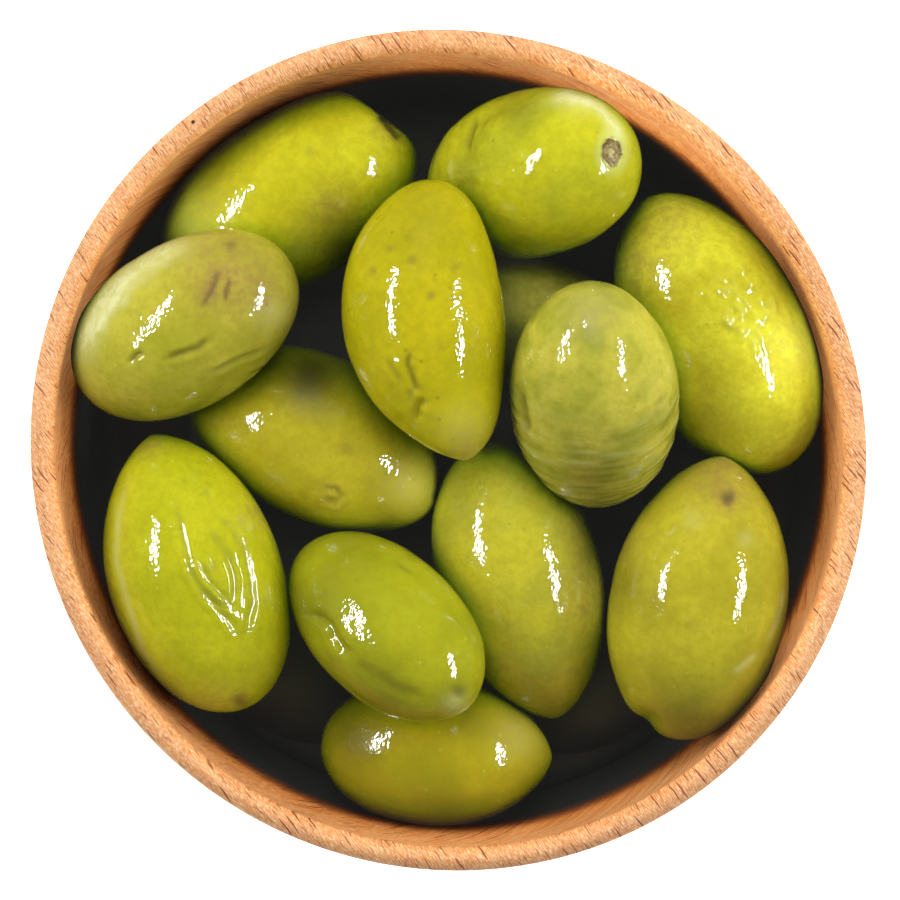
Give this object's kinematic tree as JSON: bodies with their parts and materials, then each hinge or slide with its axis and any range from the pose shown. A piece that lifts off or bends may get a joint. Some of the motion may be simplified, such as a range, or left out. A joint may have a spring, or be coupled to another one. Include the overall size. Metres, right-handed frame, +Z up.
{
  "type": "dish of olives",
  "caption": "Small turned beech bowl heaped with large green table olives that stand above its rim; a dish of olives for a table or food display.",
  "frame": {"origin": "middle of the bowl's flat foot, on the surface that it stands on", "axes": "+Z up out of the bowl's mouth; +X to the right and +Y to the top of the picture"},
  "size_m": [0.1016, 0.1024, 0.0593],
  "materials": {
    "beech": "oiled satin, turned",
    "olive_skin": "wet glossy skin"
  },
  "bodies": {
    "root": {"bowl": "beech", "olives": "olive_skin"}
  },
  "joints": []
}
